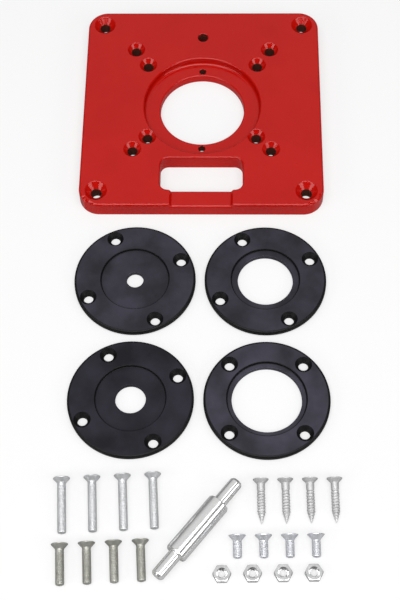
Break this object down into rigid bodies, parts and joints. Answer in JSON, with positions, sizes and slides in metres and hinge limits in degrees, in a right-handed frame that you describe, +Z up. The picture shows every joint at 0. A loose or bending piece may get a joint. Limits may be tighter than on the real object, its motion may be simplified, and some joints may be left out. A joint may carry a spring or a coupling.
{
  "type": "router table insert plate kit",
  "caption": "Square red router table insert plate with stepped round recess and finger window, laid out with black insert rings, countersunk screws, nuts and a starter pin.",
  "frame": {"origin": "middle of the laid-out kit's footprint, on the surface that it lies on; the plate's centre is at x = 0, y = 93.4 mm", "axes": "+Z up out of the plate's top face, +Y from the loose pieces towards the back edge of the plate, +X to the right seen from the front"},
  "size_m": [0.1274, 0.3068, 0.01],
  "materials": {
    "red_enamel": "glossy baked enamel over cast aluminium, edges rounded by the paint",
    "black_plastic": "satin moulded black plastic",
    "zinc_plate": "bright zinc plating on rolled threads",
    "nickel_plate": "duller nickel plating with a yellowish tint",
    "turned_steel": "bright turned steel, fine lathe marks"
  },
  "bodies": {
    "insert_plate": {"insert_plate": "red_enamel"},
    "insert_ring_8mm": {"insert_ring_8mm": "black_plastic"},
    "insert_ring_26mm": {"insert_ring_26mm": "black_plastic"},
    "insert_ring_14mm": {"insert_ring_14mm": "black_plastic"},
    "insert_ring_32mm": {"insert_ring_32mm": "black_plastic"},
    "long_screw_1": {"long_screw_1": "zinc_plate"},
    "long_screw_2": {"long_screw_2": "zinc_plate"},
    "long_screw_3": {"long_screw_3": "zinc_plate"},
    "long_screw_4": {"long_screw_4": "zinc_plate"},
    "medium_screw_1": {"medium_screw_1": "nickel_plate"},
    "medium_screw_2": {"medium_screw_2": "nickel_plate"},
    "medium_screw_3": {"medium_screw_3": "nickel_plate"},
    "medium_screw_4": {"medium_screw_4": "nickel_plate"},
    "wood_screw_1": {"wood_screw_1": "zinc_plate"},
    "wood_screw_2": {"wood_screw_2": "zinc_plate"},
    "wood_screw_3": {"wood_screw_3": "zinc_plate"},
    "wood_screw_4": {"wood_screw_4": "zinc_plate"},
    "ring_screw_1": {"ring_screw_1": "zinc_plate"},
    "ring_screw_2": {"ring_screw_2": "zinc_plate"},
    "ring_screw_3": {"ring_screw_3": "zinc_plate"},
    "ring_screw_4": {"ring_screw_4": "zinc_plate"},
    "hex_nut_1": {"hex_nut_1": "zinc_plate"},
    "hex_nut_2": {"hex_nut_2": "zinc_plate"},
    "hex_nut_3": {"hex_nut_3": "zinc_plate"},
    "hex_nut_4": {"hex_nut_4": "zinc_plate"},
    "starter_pin": {"starter_pin": "turned_steel"}
  },
  "joints": [
    {"name": "lift_insert_ring_8mm", "type": "slide", "parent": "insert_plate", "child": "insert_ring_8mm", "axis": [0, 0, 1], "range_m": [0, 0.04]},
    {"name": "lift_insert_ring_26mm", "type": "slide", "parent": "insert_plate", "child": "insert_ring_26mm", "axis": [0, 0, 1], "range_m": [0, 0.04]},
    {"name": "lift_insert_ring_14mm", "type": "slide", "parent": "insert_plate", "child": "insert_ring_14mm", "axis": [0, 0, 1], "range_m": [0, 0.04]},
    {"name": "lift_insert_ring_32mm", "type": "slide", "parent": "insert_plate", "child": "insert_ring_32mm", "axis": [0, 0, 1], "range_m": [0, 0.04]},
    {"name": "lift_long_screw_1", "type": "slide", "parent": "insert_plate", "child": "long_screw_1", "axis": [0, 0, 1], "range_m": [0, 0.04]},
    {"name": "lift_long_screw_2", "type": "slide", "parent": "insert_plate", "child": "long_screw_2", "axis": [0, 0, 1], "range_m": [0, 0.04]},
    {"name": "lift_long_screw_3", "type": "slide", "parent": "insert_plate", "child": "long_screw_3", "axis": [0, 0, 1], "range_m": [0, 0.04]},
    {"name": "lift_long_screw_4", "type": "slide", "parent": "insert_plate", "child": "long_screw_4", "axis": [0, 0, 1], "range_m": [0, 0.04]},
    {"name": "lift_medium_screw_1", "type": "slide", "parent": "insert_plate", "child": "medium_screw_1", "axis": [0, 0, 1], "range_m": [0, 0.04]},
    {"name": "lift_medium_screw_2", "type": "slide", "parent": "insert_plate", "child": "medium_screw_2", "axis": [0, 0, 1], "range_m": [0, 0.04]},
    {"name": "lift_medium_screw_3", "type": "slide", "parent": "insert_plate", "child": "medium_screw_3", "axis": [0, 0, 1], "range_m": [0, 0.04]},
    {"name": "lift_medium_screw_4", "type": "slide", "parent": "insert_plate", "child": "medium_screw_4", "axis": [0, 0, 1], "range_m": [0, 0.04]},
    {"name": "lift_wood_screw_1", "type": "slide", "parent": "insert_plate", "child": "wood_screw_1", "axis": [0, 0, 1], "range_m": [0, 0.04]},
    {"name": "lift_wood_screw_2", "type": "slide", "parent": "insert_plate", "child": "wood_screw_2", "axis": [0, 0, 1], "range_m": [0, 0.04]},
    {"name": "lift_wood_screw_3", "type": "slide", "parent": "insert_plate", "child": "wood_screw_3", "axis": [0, 0, 1], "range_m": [0, 0.04]},
    {"name": "lift_wood_screw_4", "type": "slide", "parent": "insert_plate", "child": "wood_screw_4", "axis": [0, 0, 1], "range_m": [0, 0.04]},
    {"name": "lift_ring_screw_1", "type": "slide", "parent": "insert_plate", "child": "ring_screw_1", "axis": [0, 0, 1], "range_m": [0, 0.04]},
    {"name": "lift_ring_screw_2", "type": "slide", "parent": "insert_plate", "child": "ring_screw_2", "axis": [0, 0, 1], "range_m": [0, 0.04]},
    {"name": "lift_ring_screw_3", "type": "slide", "parent": "insert_plate", "child": "ring_screw_3", "axis": [0, 0, 1], "range_m": [0, 0.04]},
    {"name": "lift_ring_screw_4", "type": "slide", "parent": "insert_plate", "child": "ring_screw_4", "axis": [0, 0, 1], "range_m": [0, 0.04]},
    {"name": "lift_hex_nut_1", "type": "slide", "parent": "insert_plate", "child": "hex_nut_1", "axis": [0, 0, 1], "range_m": [0, 0.04]},
    {"name": "lift_hex_nut_2", "type": "slide", "parent": "insert_plate", "child": "hex_nut_2", "axis": [0, 0, 1], "range_m": [0, 0.04]},
    {"name": "lift_hex_nut_3", "type": "slide", "parent": "insert_plate", "child": "hex_nut_3", "axis": [0, 0, 1], "range_m": [0, 0.04]},
    {"name": "lift_hex_nut_4", "type": "slide", "parent": "insert_plate", "child": "hex_nut_4", "axis": [0, 0, 1], "range_m": [0, 0.04]},
    {"name": "lift_starter_pin", "type": "slide", "parent": "insert_plate", "child": "starter_pin", "axis": [0, 0, 1], "range_m": [0, 0.04]}
  ]
}
